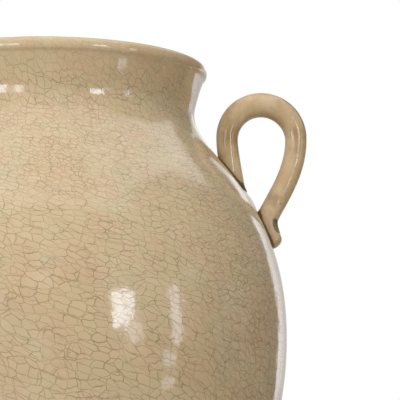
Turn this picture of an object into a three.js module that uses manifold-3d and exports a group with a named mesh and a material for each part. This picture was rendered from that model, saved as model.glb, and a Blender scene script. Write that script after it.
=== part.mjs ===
// A two-handled ceramic urn: a round belly, a short flared neck with a rolled lip, and an upright loop
// handle on each side of the shoulder. It is put together as a potter does it in leather-hard clay.
// The thrown sections are luted to each other over a low ridge that stands in a groove. Each handle is
// a rolled coil, pressed on over a pad of clay and keyed into the wall with a peg at either end.
//
// Sizes are in millimetres and angles in degrees. +Z is up, the origin is the centre of the resting
// face, and the handles stand on the X axis.

import * as THREE from 'three';
import { mergeVertices, toCreasedNormals } from 'three/addons/utils/BufferGeometryUtils.js';
import Module from 'manifold-3d';

const manifold = await Module();
manifold.setup();

// Outside of the vessel: the foot, the bowl up to the belly, the shoulder up to the waist, and the neck
const foot_height = 10;
const base_radius = 86;
const bowl_height = 204;
const belly_radius = 165;
const shoulder_height = 157;
const waist_radius = 99.9;
const neck_height = 33.4;
const lip_centre_radius = 103.9;

// How the outside curves leave and reach their ends: a lean from upright, and a length along it
const base_lean = 33;
const base_pull = 47;
const belly_pull_down = 97;
const belly_pull_up = 103.1;
const waist_pull_down = 27.9;
const waist_pull_up = 15;
const flare_lean = 22.6;
const flare_pull = 4;

// Wall and floor
const wall = 8;
const floor_thickness = 10;
const floor_cove = 14;

// Foot ring, set in a little from the wall above it
const foot_inset = 2;
const foot_width = 14;
const foot_chamfer = 1.5;

// Luted joints. The ridge stands in from either edge of a joint by a share of its width.
const slip_gap = 0.3;
const ridge_height = 2.5;
const ridge_draft = 0.4;
const ridge_inset = 1 / 3;
const neck_joint_drop = 17;
const lip_joint_drop = 6.4;

// Handle coil and its loop, placed from the seat of its upper end, which lies below the waist
const coil_diameter = 16;
const coil_top_diameter = 18.2;
const upper_seat_drop = 45;
const loop_radius = 25.6;
const loop_out = 20.9;
const loop_up = 32;
const inner_limb_pull = 12;
const root_lean = 8;
const root_depth = 18;
const root_pull = 24;

// Outer limb of the loop, coming down to its seat below the upper one
const lower_seat_drop = 28.8;
const outer_limb_pull = 24;
const lower_seat_lean = 25.6;
const lower_seat_pull = 16;

// Lower end of the coil, pressed down along the wall from the lower seat
const tail_length = 15.2;
const tail_standoff = 3;
const tail_width = 20;
const tail_bend_pull = 3;
const tail_pull = 5;
const tail_end_length = 6;
const tail_end_roundness = 1.3;

// Thumb mark on the outside of the pressed end, turned a little to the front
const thumb_place = 0.4;
const thumb_turn = 16;
const thumb_length = 17;
const thumb_width = 15;
const thumb_depth = 2.6;

// Pad of clay under both ends of the coil: the top of a sunk egg shape
const pad_drop = 14;
const pad_length = 46;
const pad_width = 34;
const pad_thickness = 20;
const pad_rise = 5;

// Pegs that key the coil into the wall
const peg_diameter = 9;
const peg_depth = 5;
const peg_reach = 6;

// Facets
const turns = 48;
const wall_steps = 9;
const neck_steps = 4;
const flare_steps = 2;
const lip_steps = 8;
const cove_steps = 4;
const coil_sides = 14;
const limb_steps = 6;
const loop_steps = 14;
const tail_steps = 6;
const tail_end_steps = 4;
const pad_turns = 28;
const pad_steps = 8;
const thumb_turns = 18;
const thumb_steps = 9;
const peg_sides = 16;
const weld_distance = 1e-4;
const place_tolerance = 1e-7;
const crease_angle = 35;

const { lerp } = THREE.MathUtils;
const radians = THREE.MathUtils.degToRad;
const point = (radius, height) => new THREE.Vector2(radius, height);
const leaning = (lean, length) =>
  point(Math.sin(radians(lean)), Math.cos(radians(lean))).multiplyScalar(length);
const steps_of = (steps) => Array.from({ length: steps + 1 }, (_, step) => step / steps);

// Outside of the wall: three curves of radius and height, one above the other, and the roll of the lip

const belly_height = foot_height + bowl_height;
const waist_height = belly_height + shoulder_height;
const lip_height = waist_height + neck_height;
const lip_radius = wall / 2;
const lip_centre = point(lip_centre_radius, lip_height);
const around_lip = (angle) =>
  point(Math.cos(radians(angle)), Math.sin(radians(angle))).multiplyScalar(lip_radius).add(lip_centre);

const base_ring = point(base_radius, foot_height + slip_gap);
const belly_ring = point(belly_radius, belly_height);
const waist_ring = point(waist_radius, waist_height);
const flare_ring = around_lip(-flare_lean);

const lower_curve = new THREE.CubicBezierCurve(
  base_ring,
  leaning(base_lean, base_pull).add(base_ring),
  point(belly_radius, belly_height - belly_pull_down),
  belly_ring,
);

const shoulder_curve = new THREE.CubicBezierCurve(
  belly_ring,
  point(belly_radius, belly_height + belly_pull_up),
  point(waist_radius, waist_height - waist_pull_down),
  waist_ring,
);

const neck_curve = new THREE.CubicBezierCurve(
  waist_ring,
  point(waist_radius, waist_height + waist_pull_up),
  leaning(flare_lean, -flare_pull).add(flare_ring),
  flare_ring,
);

// How far along a rising curve a height comes, from 0 to 1
function place_of(curve, height) {
  let below = 0;
  let above = 1;
  while (above - below > place_tolerance) {
    const middle = (below + above) / 2;
    if (curve.getPoint(middle).y < height) {
      below = middle;
    } else {
      above = middle;
    }
  }
  return below;
}

// Point at a place on a curve, set into the wall by a depth and moved up along the surface by a rise
function on_wall(curve, place, depth, rise = 0) {
  const up = curve.getTangent(place);
  const inward = point(-up.y, up.x);
  return curve.getPoint(place).addScaledVector(inward, depth).addScaledVector(up, rise);
}

// Points along a curve at a depth into the wall, the first one moved up by a lift
function along_wall(curve, from, to, steps, depth, lift = 0) {
  return steps_of(steps).map((step) => on_wall(curve, lerp(from, to, step), depth, step === 0 ? lift : 0));
}

// Ridge across a joint, from the outside in. With a clearance it is the groove that goes over it.
function ridge(across, width, clearance = 0) {
  const foot = width * ridge_inset - clearance;
  const crest = foot + ridge_draft;
  return [
    across(foot, clearance),
    across(crest, ridge_height + clearance),
    across(width - crest, ridge_height + clearance),
    across(width - foot, clearance),
  ];
}

const belly_joint = (depth, rise) => on_wall(shoulder_curve, 0, depth, rise);
const neck_place = place_of(shoulder_curve, waist_height - neck_joint_drop);
const neck_joint = (depth, rise) => on_wall(shoulder_curve, neck_place, depth, rise);
const lip_place = place_of(neck_curve, lip_height - lip_joint_drop);
const lip_joint = (depth, rise) => on_wall(neck_curve, lip_place, depth, rise);
const foot_radius = base_radius - foot_inset;
const foot_joint = (depth, rise) => point(foot_radius - depth, foot_height + rise);

// Profile turned about the upright axis. It runs up the outside and comes back down the inside.
function turned(profile) {
  return new THREE.LatheGeometry(profile, turns).rotateX(Math.PI / 2);
}

// Ring with its own closed profile: outside, top edge, inside and bottom edge
function turned_ring(outside, top, inside, bottom) {
  const profile = [...outside, ...top, ...inside.reverse(), ...bottom.reverse()];
  return turned([...profile, profile[0].clone()]);
}

function foot_ring() {
  const inner_radius = foot_radius - foot_width;
  const outside = [
    point(foot_radius - foot_chamfer, 0),
    point(foot_radius, foot_chamfer),
    foot_joint(0, 0),
  ];
  const inside = [
    point(inner_radius + foot_chamfer, 0),
    point(inner_radius, foot_chamfer),
    foot_joint(foot_width, 0),
  ];
  return turned_ring(outside, ridge(foot_joint, foot_width), inside, []);
}

// Rounded corner inside, from the floor up to the wall
function floor_corner(floor_height, cove_place) {
  const end = on_wall(lower_curve, cove_place, wall);
  const slope = lower_curve.getTangent(cove_place);
  const corner = end.clone().addScaledVector(slope, (floor_height - end.y) / slope.y);
  const start = point(corner.x - floor_cove, floor_height);
  return new THREE.QuadraticBezierCurve(start, corner, end).getPoints(cove_steps);
}

function lower_body() {
  const floor_height = foot_height + slip_gap + floor_thickness;
  const cove_place = place_of(lower_curve, floor_height + floor_cove);
  return turned([
    point(0, foot_height + slip_gap),
    ...ridge(foot_joint, foot_width, slip_gap).reverse(),
    ...along_wall(lower_curve, 0, 1, wall_steps, 0),
    ...ridge(belly_joint, wall),
    ...along_wall(lower_curve, cove_place, 1, wall_steps, wall).reverse(),
    ...floor_corner(floor_height, cove_place).reverse().slice(1),
    point(0, floor_height),
  ]);
}

function shoulder_ring() {
  return turned_ring(
    along_wall(shoulder_curve, 0, neck_place, wall_steps, 0, slip_gap),
    ridge(neck_joint, wall),
    along_wall(shoulder_curve, 0, neck_place, wall_steps, wall, slip_gap),
    ridge(belly_joint, wall, slip_gap),
  );
}

function neck_collar() {
  const side = (depth) => [
    ...along_wall(shoulder_curve, neck_place, 1, neck_steps, depth, slip_gap),
    ...along_wall(neck_curve, 0, lip_place, neck_steps, depth).slice(1),
  ];
  return turned_ring(side(0), ridge(lip_joint, wall), side(wall), ridge(neck_joint, wall, slip_gap));
}

function rim_lip() {
  const roll = steps_of(lip_steps).map((step) => around_lip(180 * step - flare_lean));
  return turned_ring(
    along_wall(neck_curve, lip_place, 1, flare_steps, 0, slip_gap),
    roll.slice(1, -1),
    along_wall(neck_curve, lip_place, 1, flare_steps, wall, slip_gap),
    ridge(lip_joint, wall, slip_gap),
  );
}

// Solid that fills the shoulder and the slip on it, to trim what is pressed on to the wall
function shoulder_core() {
  const skin = [
    ...along_wall(shoulder_curve, 0, neck_place, wall_steps, -slip_gap),
    ...along_wall(shoulder_curve, neck_place, 1, neck_steps, -slip_gap).slice(1),
  ];
  return turned([point(0, skin[0].y), ...skin, point(0, skin.at(-1).y)]);
}

// Frame in the plane of the handle: X up along a line, Y to the front and Z out from the vessel
function frame_at(at, up) {
  const along = new THREE.Vector3(up.x, 0, up.y);
  const front = new THREE.Vector3(0, -1, 0);
  const out = new THREE.Vector3(up.y, 0, -up.x);
  return new THREE.Matrix4().makeBasis(along, front, out).setPosition(at.x, 0, at.y);
}

function frame_on_shoulder(height) {
  const place = place_of(shoulder_curve, height);
  return frame_at(shoulder_curve.getPoint(place), shoulder_curve.getTangent(place));
}

// Centre line of the coil in that plane, from its root in the shoulder, over the loop, to the pressed end

const coil_radius = coil_diameter / 2;
const upper_seat_height = waist_height - upper_seat_drop;
const lower_seat_height = upper_seat_height - lower_seat_drop;
const upper_seat = shoulder_curve.getPoint(place_of(shoulder_curve, upper_seat_height));
const loop_centre = point(loop_out, loop_up).add(upper_seat);
const loop_start = point(-loop_radius, 0).add(loop_centre);
const loop_end = point(loop_radius, 0).add(loop_centre);
const root = leaning(-root_lean, -root_depth).add(upper_seat);

const lower_seat = on_wall(shoulder_curve, place_of(shoulder_curve, lower_seat_height), -coil_radius);
const tail_place = place_of(shoulder_curve, lower_seat_height - tail_length);
const tail_end = on_wall(shoulder_curve, tail_place, -tail_standoff);
const tail_slope = shoulder_curve.getTangent(tail_place);

const inner_limb = new THREE.CubicBezierCurve(
  root,
  leaning(-root_lean, root_pull).add(root),
  point(0, -inner_limb_pull).add(loop_start),
  loop_start,
);

const loop = new THREE.EllipseCurve(loop_centre.x, loop_centre.y, loop_radius, loop_radius, Math.PI, 0, true);

const outer_limb = new THREE.CubicBezierCurve(
  loop_end,
  point(0, -outer_limb_pull).add(loop_end),
  leaning(lower_seat_lean, lower_seat_pull).add(lower_seat),
  lower_seat,
);

const tail = new THREE.CubicBezierCurve(
  lower_seat,
  leaning(lower_seat_lean, -tail_bend_pull).add(lower_seat),
  tail_slope.clone().multiplyScalar(tail_pull).add(tail_end),
  tail_end,
);

// Slices of the coil along a curve, each with a thickness in the plane of the handle and a width across it
function slices(curve, steps, thickness_at, width_at) {
  return steps_of(steps).map((step) => ({
    centre: curve.getPoint(step),
    up: curve.getTangent(step).negate(),
    thickness: thickness_at(step),
    width: width_at(step),
  }));
}

// Slices that draw the pressed end in to a point
function tail_end_slices(last) {
  return steps_of(tail_end_steps).slice(1).map((step) => {
    const size = 1 - step ** tail_end_roundness;
    return {
      centre: last.centre.clone().addScaledVector(last.up, -step * tail_end_length),
      up: last.up,
      thickness: last.thickness * size,
      width: last.width * size,
    };
  });
}

function coil_slices() {
  const even = () => coil_diameter;
  const swelling = (step) => lerp(coil_diameter, coil_top_diameter, Math.sin(Math.PI * step));
  const spreading = (step) => lerp(coil_diameter, tail_width, step);
  const body = [
    ...slices(inner_limb, limb_steps, even, even),
    ...slices(loop, loop_steps, swelling, swelling).slice(1),
    ...slices(outer_limb, limb_steps, even, even).slice(1),
    ...slices(tail, tail_steps, even, spreading).slice(1),
  ];
  return [...body, ...tail_end_slices(body.at(-1))];
}

// Points round a slice. The first one is on the side away from the vessel.
function slice_points({ centre, up, thickness, width }) {
  const frame = frame_at(centre, up);
  return Array.from({ length: coil_sides }, (_, side) => {
    const angle = (side / coil_sides) * 2 * Math.PI;
    const across = new THREE.Vector3(0, (Math.sin(angle) * width) / 2, (Math.cos(angle) * thickness) / 2);
    return across.applyMatrix4(frame);
  });
}

// Closed skin over a row of slices, with flat ends
function skin_over(rows) {
  const points = rows.flatMap(slice_points);
  const triangles = [];
  for (let row = 0; row < rows.length - 1; row += 1) {
    for (let side = 0; side < coil_sides; side += 1) {
      const next_side = (side + 1) % coil_sides;
      const near = row * coil_sides;
      const far = near + coil_sides;
      triangles.push(near + side, near + next_side, far + side);
      triangles.push(far + side, near + next_side, far + next_side);
    }
  }
  const last = (rows.length - 1) * coil_sides;
  for (let side = 1; side < coil_sides - 1; side += 1) {
    triangles.push(0, side + 1, side);
    triangles.push(last, last + side, last + side + 1);
  }
  return new THREE.BufferGeometry().setFromPoints(points).setIndex(triangles);
}

// Egg shape from its lowest angle up to its top, closed below, with its short axis along Z
function egg(length, width, thickness, around, steps, lowest) {
  const arc = steps_of(steps).map((step) => {
    const angle = radians(lerp(lowest, 90, step));
    return point(Math.cos(angle), Math.sin(angle));
  });
  return new THREE.LatheGeometry([point(0, arc[0].y), ...arc], around)
    .rotateX(Math.PI / 2)
    .scale(length / 2, width / 2, thickness / 2);
}

function pad_egg(clearance = 0) {
  const grown = 2 * clearance;
  return egg(pad_length + grown, pad_width + grown, pad_thickness + grown, pad_turns, pad_steps, 0)
    .translate(0, 0, pad_rise - pad_thickness / 2)
    .applyMatrix4(frame_on_shoulder(upper_seat_height - pad_drop));
}

function thumb_egg() {
  return egg(thumb_length, thumb_width, 2 * thumb_depth, thumb_turns, thumb_steps, -90)
    .translate(0, 0, coil_radius)
    .rotateX(-radians(thumb_turn))
    .applyMatrix4(frame_at(tail.getPoint(thumb_place), tail.getTangent(thumb_place).negate()));
}

// Peg through the wall's outside at a height, or with a clearance the socket for it
function peg(height, clearance = 0) {
  const radius = peg_diameter / 2 + clearance;
  const depth = peg_depth + clearance;
  return new THREE.CylinderGeometry(radius, radius, depth + peg_reach, peg_sides)
    .rotateX(Math.PI / 2)
    .translate(0, 0, (peg_reach - depth) / 2)
    .applyMatrix4(frame_on_shoulder(height));
}

const pegs = (clearance) => [peg(upper_seat_height, clearance), peg(lower_seat_height, clearance)];

// The same shape on the other side of the vessel
function mirrored(geometry) {
  const twin = geometry.clone().scale(-1, 1, 1);
  const corners = twin.index.array;
  for (let corner = 0; corner < corners.length; corner += 3) {
    [corners[corner], corners[corner + 1]] = [corners[corner + 1], corners[corner]];
  }
  return twin;
}

// Closed solid with the faces of a geometry, for cutting and joining
function solid(geometry) {
  const bare = new THREE.BufferGeometry();
  bare.setAttribute('position', geometry.getAttribute('position'));
  bare.setIndex(geometry.index);
  const welded = mergeVertices(bare, weld_distance);
  const triangles = [];
  for (let corner = 0; corner < welded.index.count; corner += 3) {
    const [a, b, c] = welded.index.array.slice(corner, corner + 3);
    if (a !== b && b !== c && c !== a) {
      triangles.push(a, b, c);
    }
  }
  return new manifold.Manifold(new manifold.Mesh({
    numProp: 3,
    vertProperties: Float32Array.from(welded.getAttribute('position').array),
    triVerts: Uint32Array.from(triangles),
  }));
}

// Geometry with the faces of a solid
function faces_of(shape) {
  const mesh = shape.getMesh();
  const geometry = new THREE.BufferGeometry();
  geometry.setAttribute('position', new THREE.BufferAttribute(mesh.vertProperties, 3));
  return geometry.setIndex(new THREE.BufferAttribute(mesh.triVerts, 1));
}

const cut = (geometry, cutters) =>
  faces_of(cutters.reduce((shape, cutter) => shape.subtract(solid(cutter)), solid(geometry)));

const joined = (geometry, additions) =>
  faces_of(additions.reduce((shape, addition) => shape.add(solid(addition)), solid(geometry)));

function upper_body() {
  const sockets = pegs(slip_gap);
  return cut(shoulder_ring(), [...sockets, ...sockets.map(mirrored)]);
}

function handle_pad() {
  return cut(pad_egg(), [shoulder_core(), ...pegs(slip_gap)]);
}

function handle() {
  const pressed_on = cut(skin_over(coil_slices()), [shoulder_core(), pad_egg(slip_gap), thumb_egg()]);
  return joined(pressed_on, pegs());
}

// Clay and glaze

const finish = (color, roughness) => new THREE.MeshStandardMaterial({ color, roughness, metalness: 0 });
const crackle_glaze = () => finish(0xc9b48e, 0.22);
const handle_glaze = () => finish(0xb8976a, 0.3);
const bare_clay = () => finish(0xa68a68, 0.85);

function piece(name, geometry, material) {
  const mesh = new THREE.Mesh(toCreasedNormals(geometry, radians(crease_angle)), material);
  mesh.name = name;
  return mesh;
}

const right_pad = handle_pad();
const right_handle = handle();

const urn = new THREE.Group();
urn.name = 'ceramic_urn';
urn.add(
  piece('foot_ring', foot_ring(), bare_clay()),
  piece('lower_body', lower_body(), crackle_glaze()),
  piece('upper_body', upper_body(), crackle_glaze()),
  piece('neck_collar', neck_collar(), crackle_glaze()),
  piece('rim_lip', rim_lip(), crackle_glaze()),
  piece('handle_pad_right', right_pad, crackle_glaze()),
  piece('handle_pad_left', mirrored(right_pad), crackle_glaze()),
  piece('handle_right', right_handle, handle_glaze()),
  piece('handle_left', mirrored(right_handle), handle_glaze()),
);

export default urn;
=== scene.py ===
import math

import bpy
import numpy as np
from mathutils import Matrix, Vector


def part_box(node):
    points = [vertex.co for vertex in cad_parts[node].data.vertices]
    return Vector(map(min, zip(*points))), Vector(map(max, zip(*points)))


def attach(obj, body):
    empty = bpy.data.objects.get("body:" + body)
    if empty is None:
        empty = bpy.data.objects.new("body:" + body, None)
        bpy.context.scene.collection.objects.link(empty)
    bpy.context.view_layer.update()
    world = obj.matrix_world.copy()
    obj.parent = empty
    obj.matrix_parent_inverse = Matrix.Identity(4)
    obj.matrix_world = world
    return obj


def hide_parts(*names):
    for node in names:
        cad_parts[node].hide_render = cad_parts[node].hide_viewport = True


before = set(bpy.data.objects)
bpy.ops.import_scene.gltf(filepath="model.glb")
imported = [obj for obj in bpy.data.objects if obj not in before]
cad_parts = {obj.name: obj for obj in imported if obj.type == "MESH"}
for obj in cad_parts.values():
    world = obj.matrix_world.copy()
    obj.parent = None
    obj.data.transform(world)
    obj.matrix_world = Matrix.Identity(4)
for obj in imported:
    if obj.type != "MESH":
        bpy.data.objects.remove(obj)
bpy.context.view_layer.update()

# A two-handled urn in crackled tan glaze. Its sizes are in millimetres and angles in degrees, and a mesh is
# brought to metres when it is made. The main rings are read from the frame, and the curves between them are
# the ones that the frame was made with.

MM = 0.001


def far_corner(node):
    """The corner of a frame node's box with the largest coordinates, in millimetres."""
    return np.array(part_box(node)[1]) / MM


# Rings of the vessel
belly_radius = far_corner("upper_body")[0]
foot_radius = far_corner("foot_ring")[0]
rim_height = far_corner("rim_lip")[2]
slip_gap = 0.3
foot_height = 10
foot_inset = 2
belly_height = 214
shoulder_height = 157
waist_radius = 99.9
lip_centre_radius = 103.9
wall = 8
lip_radius = wall / 2
base_radius = foot_radius + foot_inset
waist_height = belly_height + shoulder_height
lip_height = rim_height - lip_radius

# How the outside curves leave and reach those rings
base_lean = 33
base_pull = 47
belly_pull_down = 97
belly_pull_up = 103.1
waist_pull_down = 27.9
waist_pull_up = 15
flare_lean = 22.6
flare_pull = 4

# Rolled edge of the lip: it swells a little over the flare and turns in under it
bead_drop = 7.5
bead_rise = 1.0
bead_above = 2.8
bead_below = 1.5

# Crease round the neck, where the potter's finger closed it in
crease_height = 375
crease_depth = 0.8
crease_width = 8

# Joints between the thrown sections, the inside and the foot
neck_joint_drop = 17
lip_joint_drop = 6.4
floor_thickness = 10
floor_cove = 14
foot_width = 14
foot_chamfer = 1.5
base_edge = 1.2

# Throwing rings inside, left by the potter's fingers
ring_pitch = 13
ring_depth = 0.3
ring_fade = 40

# Handle coil and its loop
coil_diameter = 16
coil_top_diameter = 18.2
upper_seat_drop = 45
lower_seat_drop = 28.8
loop_radius = 25.6
loop_out = 20.9
loop_up = 32
inner_limb_pull = 12
root_lean = 8
root_depth = 18
root_pull = 24
outer_limb_pull = 24
lower_seat_lean = 25.6
lower_seat_pull = 16

# Pressed end of the coil, with its thumb mark
tail_length = 15.2
tail_standoff = 3
tail_width = 20
tail_bend_pull = 3
tail_pull = 5
tail_end_length = 6
thumb_place = 0.4
thumb_turn = 33
thumb_length = 17
thumb_width = 15
thumb_depth = 3

# Ridge along the outer side of the loop, darkened brown there as painted shade and dark reflection. It
# starts and is full where that side looks away from the urn by these shares, and gains a little more where
# it looks up.
ridge_from = -0.2
ridge_full = 0.5
ridge_up = 0.5
ridge_gain = 0.13

# Where the coil meets the wall: a smear of slip, and how deep the coil is kept under the surface. The
# coil is drawn a hair thinner than the frame's, whose flat facets it then doesn't reach over.
coil_shrink = 0.06
smear_reach = 4
smear_spread = 1.1
sunk_depth = 3

# Pad of clay under the two ends of the coil
pad_drop = 14
pad_length = 44
pad_width = 34
pad_rise = 3.6
pad_sunk = 0.15
pad_fall = 1.6

# Fineness of the meshes, and of the lines that they are measured on
turns = 192
skin_step = 2.6
lip_step = 0.45
edge_steps = 5
lip_steps = 16
cove_steps = 8
floor_steps = 24
floor_hole = 0.5
coil_sides = 48
coil_step = 1
tail_step = 0.5
end_steps = 12
pad_turns = 72
pad_rings = 20
fine_steps = 1200
search_steps = 4000
measured_points = 200

# The body that the pieces ride, and the map and marks on them that the materials read
body = "root"
glaze_map = "glaze"
seat_mark = "seat"
ridge_mark = "ridge"
thumb_mark = "thumb"

# The glaze is laid out round the vessel from a line at the back
seam_angle = math.pi / 2


# Curves in the plane of radius and height


def point(radius, height):
    return np.array([radius, height], float)


def leaning(lean, length):
    """A step of a length that leans outward from the upright."""
    return length * point(math.sin(math.radians(lean)), math.cos(math.radians(lean)))


def unit(vectors):
    return vectors / np.linalg.norm(vectors, axis=-1, keepdims=True)


def on_circle(angle):
    """Points on a circle of radius 1, at angles in radians."""
    return np.stack([np.cos(angle), np.sin(angle)], -1)


def full_turn(count):
    """Even angles all the way round, in radians."""
    return 2 * math.pi * np.arange(count) / count


def bezier(start, after, before, end):
    """A cubic curve, as a function of the place along it from 0 to 1."""

    def at(place):
        t = np.asarray(place, float)[..., None]
        left = 1 - t
        return start * left**3 + 3 * after * t * left**2 + 3 * before * t**2 * left + end * t**3

    return at


def slope(curve, place, nudge=1e-4):
    """Direction of a curve at places along it."""
    place = np.asarray(place, float)
    return unit(curve(np.minimum(place + nudge, 1)) - curve(np.maximum(place - nudge, 0)))


def outward(direction):
    """The side away from the axis of a line that runs up."""
    return np.stack([direction[..., 1], -direction[..., 0]], -1)


def place_of(curve, height):
    """How far along a rising curve a height comes, from 0 to 1."""
    places = np.linspace(0, 1, search_steps + 1)
    return float(np.interp(height, curve(places)[:, 1], places))


def around_lip(angle):
    return lip_centre + lip_radius * on_circle(np.radians(angle))


def on_wall(curve, place, depth=0):
    """Points on a curve, set into the wall by a depth."""
    return curve(place) - depth * outward(slope(curve, place))


def run_of(points):
    """Length along a row of points."""
    return np.concatenate([[0], np.cumsum(np.linalg.norm(np.diff(points, axis=0), axis=1))])


def places_along(curve, start, end, step=skin_step):
    """Even places on a stretch of a curve, about a step apart."""
    length = run_of(curve(np.linspace(start, end, measured_points)))[-1]
    return np.linspace(start, end, max(2, round(length / step)) + 1)


def base_edge_points():
    """The rounded edge at the bottom of the wall."""
    turn = np.radians(np.linspace(-90, 0, edge_steps + 1))
    return base_ring + point(-base_edge, base_edge) + base_edge * on_circle(turn)


lip_centre = point(lip_centre_radius, lip_height)
base_ring = point(base_radius, foot_height + slip_gap)
belly_ring = point(belly_radius, belly_height)
waist_ring = point(waist_radius, waist_height)
flare_ring = around_lip(-flare_lean)

lower_curve = bezier(
    base_ring,
    base_ring + leaning(base_lean, base_pull),
    point(belly_radius, belly_height - belly_pull_down),
    belly_ring,
)
shoulder_curve = bezier(
    belly_ring,
    point(belly_radius, belly_height + belly_pull_up),
    point(waist_radius, waist_height - waist_pull_down),
    waist_ring,
)
neck_curve = bezier(
    waist_ring,
    point(waist_radius, waist_height + waist_pull_up),
    flare_ring - leaning(flare_lean, flare_pull),
    flare_ring,
)

# Fine line of the outside, to measure from. The glaze of the wall is laid out from the start of its rounded
# bottom edge, so it has a little run already where the fine line starts.
fine = np.linspace(0, 1, fine_steps + 1)
outside = np.concatenate([lower_curve(fine), shoulder_curve(fine)[1:], neck_curve(fine)[1:]])
outside_run = run_of(outside)
outside_slope = unit(np.gradient(outside, axis=0))
pad_centre_run = np.interp(waist_height - upper_seat_drop - pad_drop, outside[:, 1], outside_run)
base_run = run_of(base_edge_points())[-1] - base_edge


def outside_at(run, values=outside):
    """Radius and height of the outside, or its slope, at lengths along the fine line."""
    return np.stack([np.interp(run, outside_run, values[:, axis]) for axis in (0, 1)], -1)


# Meshes


def add_object(name, data):
    thing = bpy.data.objects.new(name, data)
    bpy.context.scene.collection.objects.link(thing)
    return thing


def add_mesh(name, vertices, faces, material):
    """A mesh in the scene, from vertices in metres."""
    mesh = bpy.data.meshes.new(name)
    mesh.from_pydata(vertices, [], faces)
    mesh.materials.append(material)
    return add_object(name, mesh)


def make_piece(name, vertices, faces, material, replaced):
    """A mesh piece of the urn from vertices in millimetres."""
    piece = add_mesh(name, (np.asarray(vertices) * MM).tolist(), faces, material)
    piece.data.shade_smooth()
    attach(piece, body)
    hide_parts(*replaced)
    return piece


def lay_glaze(piece, corners):
    """The run of the glaze at each corner of each face, in millimetres."""
    layer = piece.data.uv_layers.new(name=glaze_map)
    layer.data.foreach_set("uv", (np.asarray(corners, np.float32) * MM).ravel())


def lay_normals(piece, normals):
    """Normals of the whole surface, so that the line between two pieces doesn't show."""
    piece.data.normals_split_custom_set_from_vertices([tuple(normal) for normal in normals])


def band(low, count):
    """Faces between two rings of vertices. The first ring starts at low, and the other follows it."""
    faces = []
    for corner in range(count):
        after = (corner + 1) % count
        faces.append((low + corner, low + after, low + count + after, low + count + corner))
    return faces


def turned(name, strips, material, replaced):
    """Strips of profile turned about the upright axis. A strip is its points, run and normals."""
    around = on_circle(seam_angle + full_turn(turns))
    arc = 2 * math.pi * belly_radius / turns
    vertices, smooth, faces, glaze = [], [], [], []
    for points, run, normals in strips:
        first = len(vertices)
        for (radius, height), (tilt, lift) in zip(points, normals):
            vertices += [(radius * x, radius * y, height) for x, y in around]
            smooth += [(tilt * x, tilt * y, lift) for x, y in around]
        for ring in range(len(points) - 1):
            faces += band(first + ring * turns, turns)
            for turn in range(turns):
                left, right = arc * turn, arc * (turn + 1)
                glaze += [(left, run[ring]), (right, run[ring])]
                glaze += [(right, run[ring + 1]), (left, run[ring + 1])]
    piece = make_piece(name, vertices, faces, material, replaced)
    lay_glaze(piece, glaze)
    lay_normals(piece, smooth)


# Wall of the vessel: one profile, up the outside, over the lip and down the inside to the floor


def skin(curve, start, end, depth=0, step=skin_step):
    """Points of the profile along a curve, from a place on it to another that may lie below."""
    places = places_along(curve, min(start, end), max(start, end), step)
    return on_wall(curve, places if end > start else places[::-1], depth)


def floor_points(cove_place, floor_height):
    """The rounded corner inside, from the wall to the floor, and the floor to its middle."""
    end = on_wall(lower_curve, cove_place, wall)
    rise = slope(lower_curve, cove_place)
    corner = end + rise * (floor_height - end[1]) / rise[1]
    start = point(corner[0] - floor_cove, floor_height)
    t = np.linspace(0, 1, cove_steps + 1)[:, None]
    cove = end * (1 - t) ** 2 + 2 * corner * t * (1 - t) + start * t**2
    radii = np.linspace(start[0], floor_hole, floor_steps + 1)[1:]
    return np.concatenate([cove, np.stack([radii, np.full_like(radii, floor_height)], -1)])


def wall_sections():
    """The profile in order, each stretch with the frame node that it belongs to."""
    neck_place = place_of(shoulder_curve, waist_height - neck_joint_drop)
    lip_place = place_of(neck_curve, lip_height - lip_joint_drop)
    floor_height = foot_height + slip_gap + floor_thickness
    cove_place = place_of(lower_curve, floor_height + floor_cove)
    base_place = place_of(lower_curve, base_ring[1] + base_edge)
    roll = around_lip(np.linspace(-flare_lean, 180 - flare_lean, lip_steps + 1))
    return [
        ("lower_body", base_edge_points()[:-1]),
        ("lower_body", skin(lower_curve, base_place, 1)),
        ("upper_body", skin(shoulder_curve, 0, neck_place)),
        ("neck_collar", skin(shoulder_curve, neck_place, 1)),
        ("neck_collar", skin(neck_curve, 0, lip_place, step=lip_step)),
        ("rim_lip", skin(neck_curve, lip_place, 1, step=lip_step)),
        ("rim_lip", roll),
        ("rim_lip", skin(neck_curve, 1, lip_place, wall)),
        ("neck_collar", skin(neck_curve, lip_place, 0, wall)),
        ("neck_collar", skin(shoulder_curve, 1, neck_place, wall)),
        ("upper_body", skin(shoulder_curve, neck_place, 0, wall)),
        ("lower_body", skin(lower_curve, 1, cove_place, wall)),
        ("lower_body", floor_points(cove_place, floor_height)),
    ]


def wall_profile():
    """All the points of the profile, and each stretch of it as (node, first, last)."""
    points, stretches = [], []
    for node, stretch in wall_sections():
        meets = bool(points) and np.linalg.norm(points[-1] - stretch[0]) < slip_gap
        first = len(points) - 1 if points else 0
        points += list(stretch[1:] if meets else stretch)
        stretches.append((node, first, len(points) - 1))
    return np.array(points), stretches


def with_throwing_rings(points, run, mouth):
    """The profile with shallow rings pressed into its inside, from the neck down to the floor."""
    inside = np.clip((run - mouth) / ring_fade, 0, 1) * np.clip((run[-1] - run) / ring_fade, 0, 1)
    ripple = ring_depth * inside * np.sin(2 * math.pi * run / ring_pitch)
    return points + outward(unit(np.gradient(points, axis=0))) * ripple[:, None]


def with_lip_and_crease(points):
    """The profile with the swell of the rolled edge and the crease of the neck, both on its outside."""
    outer = np.arange(len(points)) < np.argmax(points[:, 1])
    drop = rim_height - points[:, 1]
    width = np.where(drop < bead_drop, bead_above, bead_below)
    swell = bead_rise * np.exp(-(((drop - bead_drop) / width) ** 2))
    crease = crease_depth * np.exp(-(((points[:, 1] - crease_height) / crease_width) ** 2))
    return points + ((swell - crease) * outer)[:, None] * point(1, 0)


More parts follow.
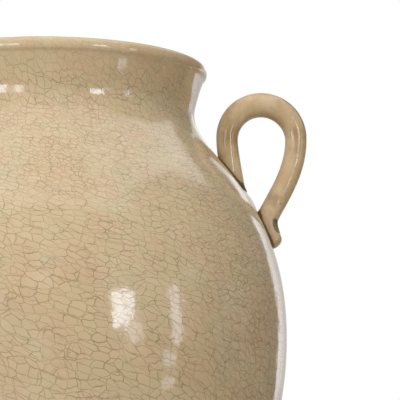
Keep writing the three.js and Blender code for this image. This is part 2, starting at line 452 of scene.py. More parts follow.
def make_wall(material):
    """The thrown sections, each a skin with the outside and the inside of its wall."""
    points, stretches = wall_profile()
    points = with_lip_and_crease(points)
    run = run_of(points)
    mouth = run[max(last for node, _, last in stretches if node == "rim_lip")]
    points = with_throwing_rings(points, run, mouth)
    normals = outward(unit(np.gradient(points, axis=0)))
    for node in dict.fromkeys(node for node, _, _ in stretches):
        strips = []
        for owner, first, last in stretches:
            if owner == node:
                part = slice(first, last + 1)
                strips.append((points[part], run[part], normals[part]))
        turned(f"{node}_skin", strips, material, [node])


def make_foot(material):
    """The foot ring with its edges worn round, and the bare underside of the floor inside it."""
    inner_radius = foot_radius - foot_width
    top = foot_height + slip_gap
    corner = foot_chamfer * on_circle(np.radians(np.linspace(0, 90, edge_steps + 1)))
    outer = point(foot_radius - foot_chamfer, foot_chamfer) + corner[::-1] * point(1, -1)
    inner = point(inner_radius + foot_chamfer, foot_chamfer) + corner * point(-1, -1)
    middle = np.linspace(inner_radius, floor_hole, floor_steps + 1)
    ring = np.concatenate([[point(inner_radius, top)], inner, outer, [point(foot_radius, top)]])
    underside = np.stack([middle, np.full_like(middle, top)], -1)[::-1]
    for name, profile, node in (
        ("foot_ring_skin", ring, "foot_ring"),
        ("floor_underside", underside, "lower_body"),
    ):
        normals = outward(unit(np.gradient(profile, axis=0)))
        turned(name, [(profile, run_of(profile), normals)], material, [node])


# Handle: a rolled coil, looped upright, with its lower end pressed down on the shoulder


def on_shoulder(height, stand_off=0):
    """A point at a height on the shoulder or off it, and the slope of the shoulder there."""
    place = place_of(shoulder_curve, height)
    return on_wall(shoulder_curve, place, -stand_off), slope(shoulder_curve, place)


def coil_curves():
    """The centre line of the coil in the handle's plane, from its root to the pressed end."""
    upper_seat, _ = on_shoulder(waist_height - upper_seat_drop)
    lower_seat_height = waist_height - upper_seat_drop - lower_seat_drop
    lower_seat, _ = on_shoulder(lower_seat_height, coil_diameter / 2)
    tail_end, tail_slope = on_shoulder(lower_seat_height - tail_length, tail_standoff)
    centre = upper_seat + point(loop_out, loop_up)
    start = centre - point(loop_radius, 0)
    end = centre + point(loop_radius, 0)
    root = upper_seat - leaning(-root_lean, root_depth)
    root_after = root + leaning(-root_lean, root_pull)
    seat_before = lower_seat + leaning(lower_seat_lean, lower_seat_pull)
    seat_after = lower_seat - leaning(lower_seat_lean, tail_bend_pull)

    def over_the_top(place):
        return centre + loop_radius * on_circle(math.pi * (1 - np.asarray(place, float)))

    inner_limb = bezier(root, root_after, start - point(0, inner_limb_pull), start)
    outer_limb = bezier(end, end - point(0, outer_limb_pull), seat_before, lower_seat)
    tail = bezier(lower_seat, seat_after, tail_end + tail_slope * tail_pull, tail_end)
    return inner_limb, over_the_top, outer_limb, tail


def coil_stations():
    """Along the coil: centre, way back along it, thickness, width, and the length from the thumb mark."""
    inner_limb, over_the_top, outer_limb, tail = coil_curves()
    centre, back, thickness, width = [], [], [], []
    for curve in (inner_limb, over_the_top, outer_limb, tail):
        places = places_along(curve, 0, 1, tail_step if curve is tail else coil_step)
        places = places if curve is tail else places[:-1]
        swell = np.sin(math.pi * places) if curve is over_the_top else 0 * places
        round_coil = coil_diameter + (coil_top_diameter - coil_diameter) * swell
        spread = (tail_width - coil_diameter) * places if curve is tail else 0 * places
        centre += list(curve(places))
        back += list(-slope(curve, places))
        thickness += list(round_coil)
        width += list(round_coil + spread)
    # The last places are those in the tail, where the thumb mark lies
    in_tail = slice(len(centre) - len(places), len(centre))
    for step in np.sin(np.linspace(0, math.pi / 2, end_steps + 1)[1:]):
        size = math.sqrt(max(0, 1 - step**2))
        centre.append(tail(1) - step * tail_end_length * back[-1])
        back.append(back[-1])
        thickness.append(coil_diameter * size + coil_shrink)
        width.append(tail_width * size + coil_shrink)
    run = run_of(np.array(centre))
    thumb = np.interp(thumb_place, places, run[in_tail])
    thickness = np.array(thickness) - coil_shrink
    return np.array(centre), np.array(back), thickness, np.array(width) - coil_shrink, run - thumb


def pad_height(along, around):
    """Height of the pad over the wall, at lengths from its middle up the wall and round it."""
    share = (2 * along / pad_length) ** 2 + (2 * around / pad_width) ** 2
    return (pad_rise + pad_sunk) * np.clip(1 - share, 0, 1) ** pad_fall - pad_sunk


def above_wall(vertices):
    """Height of points over the outside of the wall, below zero inside it, and over the pad on it."""
    radius = np.hypot(vertices[:, 0], vertices[:, 1])
    spots = np.stack([radius, vertices[:, 2]], -1)
    heights, runs = np.empty((2, len(spots)))
    for index, spot in enumerate(spots):
        away = spot - outside
        nearest = int(np.argmin((away**2).sum(1)))
        heights[index] = away[nearest] @ outward(outside_slope[nearest])
        runs[index] = outside_run[nearest]
    return heights, heights - pad_height(runs - pad_centre_run, vertices[:, 1])


def pressed_by_thumb(lift, across, from_thumb):
    """Offsets from the coil's centre line with the thumb mark in them, and how deep the mark is there."""
    tilt = math.radians(thumb_turn)
    drop = coil_diameter / 2 - (lift * math.cos(tilt) + across * math.sin(tilt))
    sideways = across * math.cos(tilt) - lift * math.sin(tilt)
    oval = (2 * from_thumb / thumb_length) ** 2 + (2 * sideways / thumb_width) ** 2
    press = np.clip(1 - oval - drop / thumb_depth, 0, None) * thumb_depth * (lift > 0)
    return lift - press * math.cos(tilt), across - press * math.sin(tilt), press


def smear_of_slip(vertices, centre, thickness, seat):
    """How far the slip that closes the joint moves each vertex away from the centre line."""
    reach = np.clip(1 - np.abs(seat) / smear_reach, 0, 1) ** 2 * smear_spread
    middle = np.repeat(np.insert(centre, 1, 0, axis=1), coil_sides, axis=0)
    size = np.repeat(thickness / coil_diameter, coil_sides)[:, None]
    return (vertices - middle) / (coil_diameter / 2) * reach[:, None] * size


def ridge_shade(turn, out):
    """How dark the painted shade and dark reflection are round the coil: most on the loop's outer side,
    away from the urn and up.
    """
    outer = np.clip((out[:, :1] - ridge_from) / (ridge_full - ridge_from), 0, 1)
    return np.cos(turn)[None] * outer * (1 + ridge_gain * np.clip(out[:, 1:] / ridge_up, -1, 1))


def coil_surface():
    """The right coil: its vertices, their height over the wall, and the marks that its material reads."""
    centre, back, thickness, width, from_thumb = coil_stations()
    turn = full_turn(coil_sides)
    out = outward(back)
    lift = np.cos(turn)[None] * thickness[:, None] / 2
    across = np.sin(turn)[None] * width[:, None] / 2
    lift, across, press = pressed_by_thumb(lift, across, from_thumb[:, None])
    raised = centre[:, None] + lift[..., None] * out[:, None]
    vertices = np.stack([raised[..., 0], -across, raised[..., 1]], -1).reshape(-1, 3)
    height, seat = above_wall(vertices)
    marks = {
        seat_mark: seat * MM,
        ridge_mark: ridge_shade(turn, out).ravel(),
        thumb_mark: press.ravel() / thumb_depth,
    }
    return vertices + smear_of_slip(vertices, centre, thickness, seat), height, marks


def make_handle(name, side, material, replaced):
    """The coil on one side, without what would lie deep in the wall."""
    vertices, height, marks = coil_surface()
    faces = []
    for low in range(0, len(vertices) - coil_sides, coil_sides):
        faces += [face for face in band(low, coil_sides) if max(height[list(face)]) > -sunk_depth]
    used = sorted({corner for face in faces for corner in face})
    place = {old: new for new, old in enumerate(used)}
    faces = [tuple(place[corner] for corner in face) for face in faces]
    faces = [face[::-1] if side > 0 else face for face in faces]
    piece = make_piece(name, vertices[used] * (side, 1, 1), faces, material, replaced)
    for word, values in marks.items():
        mark = piece.data.attributes.new(word, "FLOAT", "POINT")
        mark.data.foreach_set("value", values[used])


def make_pad(name, side, material, replaced):
    """A low mound on the shoulder. It carries on the glaze of the wall around it."""
    share = np.linspace(0, 1, pad_rings + 1)[1:]
    turn = full_turn(pad_turns)
    along = np.concatenate([[0], (np.outer(share, np.cos(turn)) * pad_length / 2).ravel()])
    around = np.concatenate([[0], (np.outer(share, np.sin(turn)) * pad_width / 2).ravel()])
    run = pad_centre_run + along
    lean = outward(unit(outside_at(run, outside_slope)))
    out, height = (outside_at(run) + pad_height(along, around)[:, None] * lean).T
    angle = around / outside_at(pad_centre_run)[0]
    vertices = np.stack([side * out * np.cos(angle), out * np.sin(angle), height], -1)
    faces = [(0, 1 + corner, 1 + (corner + 1) % pad_turns) for corner in range(pad_turns)]
    for ring in range(pad_rings - 1):
        # A band's faces are turned over, so that they look the same way as the middle ones
        faces += [face[:1] + face[:0:-1] for face in band(1 + ring * pad_turns, pad_turns)]
    faces = [face[::-1] if side > 0 else face for face in faces]
    piece = make_piece(name, vertices, faces, material, replaced)
    about = np.arctan2(vertices[:, 1], vertices[:, 0]) - seam_angle
    laid = np.stack([np.mod(about, 2 * math.pi) * belly_radius, run + base_run], -1)
    lay_glaze(piece, [laid[corner] for face in faces for corner in face])


# Materials


class Shader:
    """The nodes of a material, or of the world, while they are wired up."""

    def __init__(self, owner):
        owner.use_nodes = True
        self.owner = owner
        self.tree = owner.node_tree
        self.tree.nodes.clear()

    def add(self, kind, inputs=None, output=0, **settings):
        """A node with its settings and inputs, of which one output is handed back."""
        node = self.tree.nodes.new("ShaderNode" + kind)
        for name, value in settings.items():
            setattr(node, name, value)
        for socket, value in (inputs or {}).items():
            if isinstance(value, bpy.types.NodeSocket):
                self.tree.links.new(value, node.inputs[socket])
            else:
                node.inputs[socket].default_value = value
        return node.outputs[output]

    def spot(self):
        """The place on the piece, in metres from the piece's own origin."""
        return self.add("TexCoord", output=3)

    def axes(self, vector):
        return self.add("SeparateXYZ", {0: vector}).node.outputs

    def mark(self, name):
        """A mark that was laid on the vertices."""
        return self.add("Attribute", output=2, attribute_name=name)

    def math(self, operation, *values):
        return self.add("Math", dict(enumerate(values)), operation=operation)

    def vector(self, operation, *values):
        return self.add("VectorMath", dict(enumerate(values)), operation=operation)

    def number(self, operation, *vectors):
        """A number worked out from vectors, such as a length."""
        return self.add("VectorMath", dict(enumerate(vectors)), 1, operation=operation)

    def remap(self, value, low, high, start=0.0, end=1.0):
        """A value from low to high, brought smoothly to start to end."""
        inputs = {0: value, 1: low, 2: high, 3: start, 4: end}
        return self.add("MapRange", inputs, interpolation_type="SMOOTHSTEP")

    def blend(self, share, low, high):
        """Two colours blended."""
        return self.add("Mix", {0: share, 6: low, 7: high}, 2, data_type="RGBA")

    def layers(self, colour, *layers):
        """A colour with others laid over it. A layer is the share that it covers, and its colour."""
        for share, over in layers:
            colour = self.blend(share, colour, over)
        return colour

    def noise(self, spot, size, detail=2.0, roughness=0.5, colour=False):
        """Noise with features of a size in millimetres, at a spot in metres."""
        inputs = {"Vector": spot, "Scale": 1 / (size * MM), "Detail": detail, "Roughness": roughness}
        return self.add("TexNoise", inputs, 1 if colour else 0)

    def patches(self, spot, size, low, high, least=0.0, most=1.0, detail=3.0, roughness=0.5):
        """Noise brought to patches: the least where it is under low, and the most where it is over high."""
        return self.remap(self.noise(spot, size, detail, roughness), low, high, least, most)

    def bump(self, height, depth, normal=None):
        """A bump of a depth in millimetres for a height from 0 to 1."""
        inputs = {"Height": height, "Distance": depth * MM, "Strength": 1.0}
        if normal is not None:
            inputs["Normal"] = normal
        return self.add("Bump", inputs)

    def finish(self, colour, roughness, normal, **constants):
        """The surface. The constants go straight on its sockets."""
        inputs = {"Base Color": colour, "Roughness": roughness, "Normal": normal}
        inputs.update({name.replace("_", " "): value for name, value in constants.items()})
        self.add_output(self.add("BsdfPrincipled", inputs))
        return self.owner

    def add_output(self, surface, kind="Material"):
        out = self.tree.nodes.new("ShaderNodeOutput" + kind)
        self.tree.links.new(surface, out.inputs["Surface"])


def new_shader(name):
    return Shader(bpy.data.materials.new(name))


def tone(red, green, blue):
    return (red, green, blue, 1.0)


tan = tone(0.63, 0.5, 0.332)
orange_tan = tone(0.62, 0.468, 0.298)
grey_tan = tone(0.55, 0.47, 0.328)
milky_tan = tone(0.68, 0.572, 0.408)
crack_brown = tone(0.14, 0.104, 0.06)
seat_shade_and_speck_brown = tone(0.07, 0.032, 0.012)
coil_tan = tone(0.565, 0.418, 0.25)
coil_deep = tone(0.36, 0.225, 0.10)
coil_pale = tone(0.65, 0.522, 0.355)
thumb_grey = tone(0.26, 0.24, 0.16)
rim_highlight = tone(0.72, 0.62, 0.47)
green_tint = tone(0.975, 1.012, 0.977)
pink_tint = tone(1.018, 0.99, 1.0)
ridge_shade_brown = tone(0.1, 0.06, 0.028)
clay = tone(0.40, 0.26, 0.15)
clay_pale = tone(0.52, 0.39, 0.26)
clay_scorched = tone(0.22, 0.12, 0.06)

# Cells of the crackle, as their size round the vessel, their size up it and how unevenly they lie: the
# first cells, the long cracks that cross them, and the small cells of the patches where the glaze is thin.
# The offsets keep one kind of cell from lying over another.
first_cells = (8.0, 5.1, 0.78)
crossing_cells = (21.0, 11.0, 0.95)
crossing_offset = (137.0, 71.0, 0.0)
crossing_strength = 0.8
small_cells = (5.2, 3.9, 0.85)
small_offset = (59.0, 23.0, 0.0)

# How far the cells waver, as the size of the wave and its reach round the vessel and up it
cell_wavers = ((120, 20.0, 34.0), (17, 7.0, 7.0), (4.2, 2.7, 2.7))
half = (0.5, 0.5, 0.5)

# Distance from the middle of a crack at which it starts to fade, and at which it has gone
line_core = 0.06
line_edge = 0.38

# The runs below are lengths up the outside of the wall. The cells lean down to the right at the front, and
# less so over the shoulder. They are lower over the shoulder, and taller again over the neck.
cell_lean = 78.0
shoulder_lean = 39.0
lean_runs = (150.0, 400.0)
shoulder_run = 235.0
shoulder_crowding = 0.3
neck_run = 390.0
neck_stretch = -0.42

# Small cells crowd the shoulder, up to where the neck starts, and the side with the right handle. The side
# is told by the sine of the turn from the seam, which is -1 at that handle.
crowd_starts = (260.0, 340.0)
crowd_ends = (388.0, 402.0)
crowd_share = 0.4
neck_share = 0.05
side_crowd = (-0.8, -0.35)
side_share = 0.75

# The crackle is faint near the edge of the lip, as a distance from the run of that edge
lip_run = 437.0
lip_fade = (8.0, 32.0)
lip_strength = 0.38

# How a crack and a cell of the crackle show in the glaze
crack_strength = 0.63
crack_roughness = 0.05
crack_depth = 0.012
cell_shades = (0.975, 1.015)
cell_hue = 0.1

# Unevenness of the wall's glaze, as the size, detail and depth of its waves
glaze_waves = ((34, 2.0, 0.9), (9, 2.0, 0.17), (4, 3.0, 0.055))

# Glaze of the coil: how its streaks are drawn out, how ragged the painted dark edge of the ridge is, and
# the line of brown pooled glaze with painted crease shade and the soft painted shade round the coil's seat,
# as the distances from the wall between which they fade
streak_shape = (1.0, 1.0, 0.45)
ridge_raggedness = 0.55
seat_waver = 1.6
seat_line = (1.1 * MM, 2.9 * MM)
seat_shade = (1.0 * MM, 7.0 * MM)

# Scraped grooves and grit of the bare clay
groove_pitch = 2.2
groove_depth = 0.05
grit_depth = 0.14


def crack_lines(shader, laid, wide, high, unevenness):
    """Lines of an even width between cells, from 0 to 1, and a random colour for each cell. A crack lies
    halfway between the two nearest cell centres, and the steepness brings its distance to millimetres."""
    shrink = (1 / wide, 1 / high, 0.0)
    scaled = shader.vector("MULTIPLY", laid, shrink)
    inputs = {"Vector": scaled, "Scale": 1.0, "Randomness": unevenness}
    nearest = shader.add("TexVoronoi", inputs, voronoi_dimensions="2D", feature="F1").node.outputs
    second = shader.add("TexVoronoi", inputs, 2, voronoi_dimensions="2D", feature="F2")
    across = shader.vector("SUBTRACT", second, nearest["Position"])
    middle = shader.vector("MULTIPLY_ADD", across, half, nearest["Position"])
    reach = shader.number("DOT_PRODUCT", across, shader.vector("SUBTRACT", scaled, middle))
    steepness = shader.number("LENGTH", shader.vector("MULTIPLY", across, shrink))
    distance = shader.math("ABSOLUTE", shader.math("DIVIDE", reach, steepness))
    return shader.remap(distance, line_core, line_edge, 1.0, 0.0), nearest["Color"]


def shift_of_cells(shader, turn, along):
    """How far up the wall the cells are shifted, which leans them, crowds them and stretches them."""
    over_shoulder = shader.math("MAXIMUM", shader.math("SUBTRACT", along, shoulder_run), 0.0)
    over_neck = shader.math("MAXIMUM", shader.math("SUBTRACT", along, neck_run), 0.0)
    lean = shader.math("MULTIPLY", turn, shader.remap(along, *lean_runs, -cell_lean, -shoulder_lean))
    shift = shader.math("MULTIPLY_ADD", over_shoulder, shoulder_crowding, lean)
    return shader.add("CombineXYZ", {1: shader.math("MULTIPLY_ADD", over_neck, neck_stretch, shift)})


def share_of_small_cells(shader, spot, turn, along):
    """How strongly the small cells show: in patches, on the shoulder and towards the right handle."""
    patches = shader.patches(spot, size=38, low=0.5, high=0.62, most=0.45, detail=2.0)
    rising = shader.remap(along, *crowd_starts, 0.0, crowd_share)
    falling = shader.remap(along, *crowd_ends, crowd_share, neck_share)
    patches = shader.math("ADD", patches, shader.math("MINIMUM", rising, falling))
    return shader.math("MAXIMUM", patches, shader.remap(turn, *side_crowd, side_share, 0.0))


def crackle(shader, spot):
    """The crackle: cells a little longer than high, with cracks across. Gives its lines and cell colour."""
    laid = shader.vector("MULTIPLY", shader.add("UVMap", uv_map=glaze_map), (1 / MM, 1 / MM, 0.0))
    around, along, _ = shader.axes(laid)
    turn = shader.math("SINE", shader.math("DIVIDE", around, belly_radius))
    laid = shader.vector("ADD", laid, shift_of_cells(shader, turn, along))
    for size, reach_around, reach_up in cell_wavers:
        waver = shader.vector("SUBTRACT", shader.noise(spot, size, 1.0, colour=True), half)
        laid = shader.vector("MULTIPLY_ADD", waver, (reach_around, reach_up, 0.0), laid)
    first, cell = crack_lines(shader, laid, *first_cells)
    crossing, _ = crack_lines(shader, shader.vector("ADD", laid, crossing_offset), *crossing_cells)
    small, _ = crack_lines(shader, shader.vector("ADD", laid, small_offset), *small_cells)
    small_share = share_of_small_cells(shader, spot, turn, along)
    lines = shader.math("MAXIMUM", first, shader.math("MULTIPLY", crossing, crossing_strength))
    lines = shader.math("MAXIMUM", lines, shader.math("MULTIPLY", small, small_share))
    from_lip = shader.math("ABSOLUTE", shader.math("SUBTRACT", along, lip_run))
    fading = shader.patches(spot, size=9, low=0.36, high=0.6, least=0.5)
    fading = shader.math("MULTIPLY", fading, shader.remap(from_lip, *lip_fade, lip_strength, 1.0))
    return shader.math("MULTIPLY", lines, fading), cell


def crackle_glaze():
    """Glossy tan glaze, cloudy and uneven in tone, with a grey-brown crackle under it."""
    shader = new_shader("crackle_glaze")
    spot = shader.spot()
    lines, cell = crackle(shader, spot)
    colour = shader.layers(
        tan,
        (shader.patches(spot, size=75, low=0.42, high=0.66), orange_tan),
        (shader.patches(spot, size=48, low=0.5, high=0.72, most=0.6, detail=4.0, roughness=0.6), grey_tan),
        (shader.patches(spot, size=26, low=0.5, high=0.75, most=0.6, detail=4.0, roughness=0.6), milky_tan),
    )
    shade, hue, _ = shader.add("SeparateColor", {0: cell}).node.outputs
    shade = shader.remap(shade, 0.0, 1.0, *cell_shades)
    colour = shader.vector("MULTIPLY", colour, shader.add("CombineXYZ", {0: shade, 1: shade, 2: shade}))
    hue = shader.math("MULTIPLY_ADD", hue, cell_hue, shader.noise(spot, size=19, detail=3.0))
    tint = shader.blend(shader.remap(hue, low=0.42, high=0.68), green_tint, pink_tint)
    colour = shader.vector("MULTIPLY", colour, tint)
    specks = shader.patches(spot, size=2.6, low=0.76, high=0.8, most=0.4, detail=1.0)
    cracks = shader.math("MULTIPLY", lines, crack_strength)
    colour = shader.layers(colour, (specks, crack_brown), (cracks, crack_brown))
    wear = shader.patches(spot, 20, low=0.4, high=0.8, least=0.05, most=0.14, detail=5.0, roughness=0.65)
    roughness = shader.math("MULTIPLY_ADD", lines, crack_roughness, wear)
    normal = None
    for size, detail, depth in glaze_waves:
        normal = shader.bump(shader.noise(spot, size, detail), depth, normal)
    normal = shader.bump(lines, -crack_depth, normal)
    return shader.finish(colour, roughness, normal, IOR=1.5, Coat_Weight=0.3, Coat_Roughness=0.03)


def handle_glaze():
    """Warm tan glaze on the coil, with brown pooled glaze and painted shade where the coil meets the wall,
    a painted dark edge along the loop's outer side, and a painted highlight round the thumb mark.
    """
    shader = new_shader("handle_glaze")
    spot = shader.spot()
    streaks = shader.vector("MULTIPLY", spot, streak_shape)
    rags = shader.noise(spot, size=13, detail=4.0, roughness=0.6)
    # worn: the ragged painted shade and dark reflection along the loop's outer side
    worn = shader.math("MULTIPLY_ADD", rags, ridge_raggedness, shader.mark(ridge_mark))
    thumb = shader.mark(thumb_mark)
    # Painted highlight along the rim of the thumb mark
    dish_ends = shader.remap(thumb, low=0.08, high=0.2, start=0.7, end=0.0)
    dish_edge_highlight = shader.math("MULTIPLY", shader.remap(thumb, low=0.0, high=0.03), dish_ends)
    waver = shader.noise(spot, size=4)
    edge = shader.math("MULTIPLY_ADD", waver, -seat_waver * MM, shader.mark(seat_mark))
    colour = shader.layers(
        coil_tan,
        (shader.patches(streaks, size=16, low=0.38, high=0.66, detail=4.0, roughness=0.6), coil_pale),
        (shader.patches(spot, size=24, low=0.52, high=0.74, most=0.75), coil_deep),
        # Painted shade and dark reflection along the loop's outer side
        (shader.remap(worn, low=1.0, high=1.34, end=0.92), ridge_shade_brown),
        # Glaze pooled in the thumb mark, deepened to grey as a painted dark reflection
        (shader.remap(thumb, low=0.1, high=0.45, end=0.8), thumb_grey),
        # Painted highlight round the thumb mark
        (dish_edge_highlight, rim_highlight),
        # Painted shade on the coil round its seat on the wall
        (shader.remap(edge, *seat_shade, start=0.45, end=0.0), coil_deep),
        # Brown glaze pooled along the seat, darkened further as painted crease shade
        (shader.remap(edge, *seat_line, start=0.9, end=0.0), seat_shade_and_speck_brown),
        # Dark specks in the glaze
        (shader.patches(spot, size=2.2, low=0.76, high=0.8, most=0.5, detail=1.0), seat_shade_and_speck_brown),
    )
    wear = shader.patches(spot, 12, low=0.35, high=0.75, least=0.07, most=0.17, detail=4.0, roughness=0.65)
    normal = shader.bump(shader.noise(streaks, size=13), depth=0.9)
    normal = shader.bump(shader.noise(spot, size=2.4, detail=3.0), 0.05, normal)
    return shader.finish(colour, wear, normal, IOR=1.5)


def bare_clay():
    """Fired clay without glaze, scraped round and scorched in places."""
    shader = new_shader("bare_clay")
    spot = shader.spot()
    grit = shader.noise(spot, size=1.1)
    colour = shader.layers(
        clay,
        (shader.patches(spot, size=18, low=0.35, high=0.7, detail=5.0, roughness=0.65), clay_pale),
        (shader.patches(spot, size=30, low=0.55, high=0.75, most=0.7), clay_scorched),
        (shader.remap(grit, low=0.66, high=0.72, end=0.6), clay_scorched),
    )
    away = shader.number("LENGTH", spot)
    grooves = shader.math("SINE", shader.math("MULTIPLY", away, 2 * math.pi / (groove_pitch * MM)))
    normal = shader.bump(grooves, groove_depth)
    normal = shader.bump(grit, grit_depth, normal)
    roughness = shader.remap(grit, low=0.3, high=0.7, start=0.78, end=0.95)
    return shader.finish(colour, roughness, normal, IOR=1.45)


# Studio. Its sizes are in metres. An azimuth goes right from the front, and an elevation up.

floor_radius = 3.0
white_from = 1.0
white_by = 2.6
floor_turns = 96
floor_tone = tone(0.78, 0.77, 0.75)
floor_bounce = tone(0.51, 0.475, 0.405)
pure_white = tone(1.0, 1.0, 1.0)

# Room: its walls, the opening behind the urn by its turn from the back and its height, and the carpet,
# which starts a little away from the urn
room_glow = 0.33
room_sheen = 0.2
room_tone = tone(1.0, 0.92, 0.78)
room_radius = 2.8
room_height = 3.0
room_opening = 0.6
opening_turns = (46, 36)
opening_heights = (0.95, 1.35)
ceiling_hole = 0.01
carpet_from = 0.35
carpet_by = 1.1
carpet_height = 0.002
wall_heights = (0.01, 0.1)

# Strips of light behind the urn. The pairs are places between which the light rises or falls off.
panel_back = 0.31
panel_half_width = 0.48
panel_low = 0.01
panel_high = 0.48
panel_glow = 1.85
panel_rise = (0.29, 0.5)
panel_side_edge = (0.462, 0.475)
panel_top_edge = (0.415, 0.475)
panel_lean = 0.9
panel_lean_from = 0.355

# Skylight, by the azimuth and elevation of its ends, and windows, of which the low ones stand nearer
skylight_start = (64, 64)
skylight_end = (130, 38)
window_tone = tone(0.87, 0.95, 1.05)
low_window = {"fade": 0.012, "distance": 0.75}
left_window = {"fade": 0.05}

# Lamps
lamp_distance = 2.4
lamp_colour = (1.0, 0.99, 0.975)
lamp_centre = Vector((0, 0, 0.25))


def seen_directly(shader):
    """1 for rays from the camera, from gloss and through glass."""
    path = shader.add("LightPath").node.outputs
    seen = shader.math("MAXIMUM", path["Is Camera Ray"], path["Is Glossy Ray"])
    return shader.math("MAXIMUM", seen, path["Is Transmission Ray"])


def make_floor():
    """A pale disc that fades to white at its edge, but only for what is seen, not as light."""
    shader = new_shader("floor")
    away = shader.number("LENGTH", shader.spot())
    seen = seen_directly(shader)
    share = shader.math("MULTIPLY", shader.remap(away, white_from, white_by), seen)
    matt = shader.add("BsdfDiffuse", {"Color": shader.blend(seen, floor_bounce, floor_tone)})
    white = shader.add("Emission", {"Color": pure_white, "Strength": 1.0})
    shader.add_output(shader.add("MixShader", {0: share, 1: matt, 2: white}))
    rim = [(floor_radius * x, floor_radius * y, 0.0) for x, y in on_circle(full_turn(floor_turns))]
    floor = add_mesh("floor", rim, [tuple(range(floor_turns))], shader.owner)


def from_urn(azimuth, elevation):
    """The direction at an azimuth and an elevation."""
    turn, lift = math.radians(azimuth), math.radians(elevation)
    return Vector((math.sin(turn) * math.cos(lift), -math.cos(turn) * math.cos(lift), math.sin(lift)))


def span(angle, distance):
    """The width of what fills an angle at a distance."""
    return 2 * distance * math.tan(math.radians(angle / 2))


def for_gloss_only(name, vertices, faces, material):
    """A stage piece that is seen in the gloss of the urn and nowhere else."""
    piece = add_mesh(name, vertices, faces, material)
    piece.visible_camera = False
    piece.visible_diffuse = False
    piece.visible_shadow = False
    piece.visible_transmission = False
    return piece


def see_through(shader, share, colour, glow):
    """A glow where the share is 1, and clear where it is 0."""
    light = shader.add("Emission", {"Color": colour, "Strength": glow})
    shader.add_output(shader.add("MixShader", {0: share, 1: shader.add("BsdfTransparent"), 2: light}))


def upright_corners(half_width, low, high, back=0):
    """Corners of an upright rectangle, some way back from the middle."""
    corners = ((-half_width, low), (half_width, low), (half_width, high), (-half_width, high))
    return [(x, back, z) for x, z in corners]


def soft_card(name, middle, back, along, wide, high, fade, glow, colour):
    """A lit card with soft edges. Its back and its long side are directions."""
    shader = new_shader(name)
    place = shader.axes(shader.spot())
    inside_x, inside_z = (
        shader.remap(shader.math("ABSOLUTE", place[axis]), edge - fade, edge + fade, 1.0, 0.0)
        for axis, edge in ((0, wide / 2), (2, high / 2))
    )
    see_through(shader, shader.math("MULTIPLY", inside_x, inside_z), colour, glow)
    top = high / 2 + fade
    corners = upright_corners(wide / 2 + fade, -top, top)
    card = for_gloss_only(name, corners, [(0, 1, 2, 3)], shader.owner)
    side = (along - back * along.dot(back)).normalized()
    card.location = middle
    card.rotation_euler = Matrix((side, back, side.cross(back))).transposed().to_euler()


def make_panels():
    """Two strips of light behind the urn, one at each side, brightest at their outer edges, which lean in
    at the top."""
    shader = new_shader("panels")
    place = shader.axes(shader.spot())
    above = shader.math("MAXIMUM", shader.math("SUBTRACT", place[2], panel_lean_from), 0.0)
    aside = shader.math("MULTIPLY_ADD", above, panel_lean, shader.math("ABSOLUTE", place[0]))
    share = shader.remap(aside, *panel_rise)
    share = shader.math("MULTIPLY", share, shader.remap(aside, *panel_side_edge, 1.0, 0.0))
    share = shader.math("MULTIPLY", share, shader.remap(place[2], *panel_top_edge, 1.0, 0.0))
    see_through(shader, share, pure_white, panel_glow)
    corners = upright_corners(panel_half_width, panel_low, panel_high, panel_back)
    for_gloss_only("panels", corners, [(0, 1, 2, 3)], shader.owner)


def make_room():
    """The dim room as the gloss sees it: carpet, walls and ceiling, open to the white backdrop behind."""
    shader = new_shader("room")
    spot = shader.spot()
    place = shader.axes(spot)
    away = shader.number("LENGTH", shader.vector("MULTIPLY", spot, (1.0, 1.0, 0.0)))
    behind = shader.math("DIVIDE", place[1], away)
    opening = shader.remap(behind, *(math.cos(math.radians(turn)) for turn in opening_turns))
    opening = shader.math("MULTIPLY", opening, shader.remap(place[2], *opening_heights, room_opening, 0.0))
    off_floor = shader.remap(place[2], *wall_heights)
    covered = shader.math("MAXIMUM", off_floor, shader.remap(away, carpet_from, carpet_by))
    share = shader.math("MULTIPLY", covered, shader.math("SUBTRACT", 1.0, opening))
    see_through(shader, share, room_tone, room_sheen)
    carpet = [(carpet_from, carpet_height), (room_radius, carpet_height)]
    profile = carpet + [(room_radius, room_height), (ceiling_hole, room_height)]
    around = on_circle(full_turn(floor_turns))
    vertices = [(radius * x, radius * y, height) for radius, height in profile for x, y in around]
    faces = []
    for ring in range(len(profile) - 1):
        faces += band(ring * floor_turns, floor_turns)
    for_gloss_only("room", vertices, faces, shader.owner)


def window_card(name, azimuth, elevation, wide, high, glow, fade=0.02, distance=lamp_distance):
    """A window of the room, as the gloss sees it. Its width and height are angles too."""
    away = from_urn(azimuth, elevation)
    level = Vector((0, 0, 1)).cross(away)
    width, height = span(wide, distance), span(high, distance)
    soft_card(name, lamp_centre + away * distance, away, level, width, height, fade, glow, window_tone)


def make_cards():
    """A skylight to the right of the urn, and the windows of the room."""
    first, last = from_urn(*skylight_start), from_urn(*skylight_end)
    away = (first + last).normalized()
    middle = lamp_centre + away * lamp_distance
    soft_card(
        "skylight", middle, away, last - first, wide=1.8, high=0.52, fade=0.14, glow=1.35, colour=pure_white
    )
    # The numbers of a window are its azimuth, elevation, width, height and glow
    window_card("window_right", 30, 8.4, 9.6, 12.7, 8.8)
    window_card("window_right_low", 35.4, 1.0, 5.6, 6.4, 3.3)
    window_card("window_side", 56.5, 6, 5, 17, 4.0)
    window_card("window_side_low", 48.5, -8.6, 7.5, 4.4, 3.3, **low_window)
    window_card("window_side_lowest", 49, -15.2, 6, 2.8, 3.0, **low_window)
    window_card("window_left", -45, 5, 10, 20, 8.0, **left_window)
    window_card("window_left_pane", -32, 5, 9, 20, 5.0, **left_window)


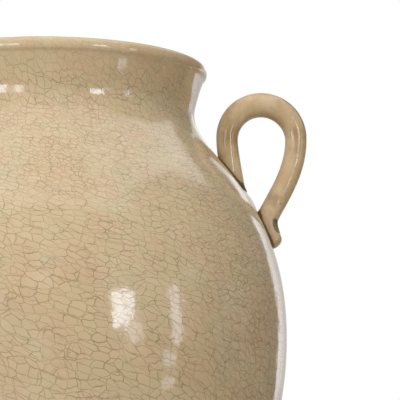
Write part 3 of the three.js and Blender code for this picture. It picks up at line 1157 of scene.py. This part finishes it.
def make_world():
    """White to look at. The diffuse light comes from a dimmer and warmer room."""
    world = bpy.data.worlds.new("studio")
    bpy.context.scene.world = world
    shader = Shader(world)
    seen = seen_directly(shader)
    strength = shader.add("Mix", {0: seen, 2: room_glow, 3: 1.0})
    colour = shader.blend(seen, room_tone, pure_white)
    shader.add_output(shader.add("Background", {"Color": colour, "Strength": strength}), "World")


def soft_lamp(name, azimuth, elevation, wide, high, glow, in_gloss=True):
    """A soft box seen from the urn at an azimuth and an elevation. Its width and height are angles too."""
    light = bpy.data.lights.new(name, "AREA")
    light.shape = "RECTANGLE"
    light.size = span(wide, lamp_distance)
    light.size_y = span(high, lamp_distance)
    light.energy = glow * math.pi * light.size * light.size_y
    light.color = lamp_colour
    lamp = add_object(name, light)
    away = from_urn(azimuth, elevation)
    lamp.location = lamp_centre + away * lamp_distance
    lamp.rotation_euler = away.to_track_quat("Z", "Y").to_euler()
    lamp.visible_glossy = in_gloss


def make_lamps():
    """Four soft boxes. Their numbers are the azimuth, elevation, width, height and glow."""
    soft_lamp("key", -27, 33, 46, 36, 3.95, in_gloss=False)
    soft_lamp("overhead", 0, 84, 60, 60, 0.8)
    soft_lamp("fill", 45, 8, 50, 40, 0.43, in_gloss=False)
    soft_lamp("back", 170, 30, 40, 30, 0.7)


# Camera at the photograph's viewing angle

camera_back = 0.9722
camera_height = 0.214
camera_tilt = 5.7667
camera_turn = -6.0965
camera_lens = 121.17
camera_sensor = 36


def make_camera():
    camera = bpy.data.cameras.new("camera")
    camera.sensor_width = camera_sensor
    camera.lens = camera_lens
    stand = add_object("camera", camera)
    stand.location = (0, -camera_back, camera_height)
    stand.rotation_euler = (math.radians(90 + camera_tilt), 0, math.radians(camera_turn))
    bpy.context.scene.camera = stand


def make_urn():
    glaze = crackle_glaze()
    coil_glaze = handle_glaze()
    clay_body = bare_clay()
    make_wall(glaze)
    make_foot(clay_body)
    for side, word in ((1, "right"), (-1, "left")):
        make_pad(f"handle_pad_{word}_skin", side, glaze, [f"handle_pad_{word}"])
        make_handle(f"handle_{word}_skin", side, coil_glaze, [f"handle_{word}"])


make_urn()
make_floor()
make_room()
make_panels()
make_cards()
make_world()
make_lamps()
make_camera()
bpy.context.scene.view_settings.view_transform = "Standard"
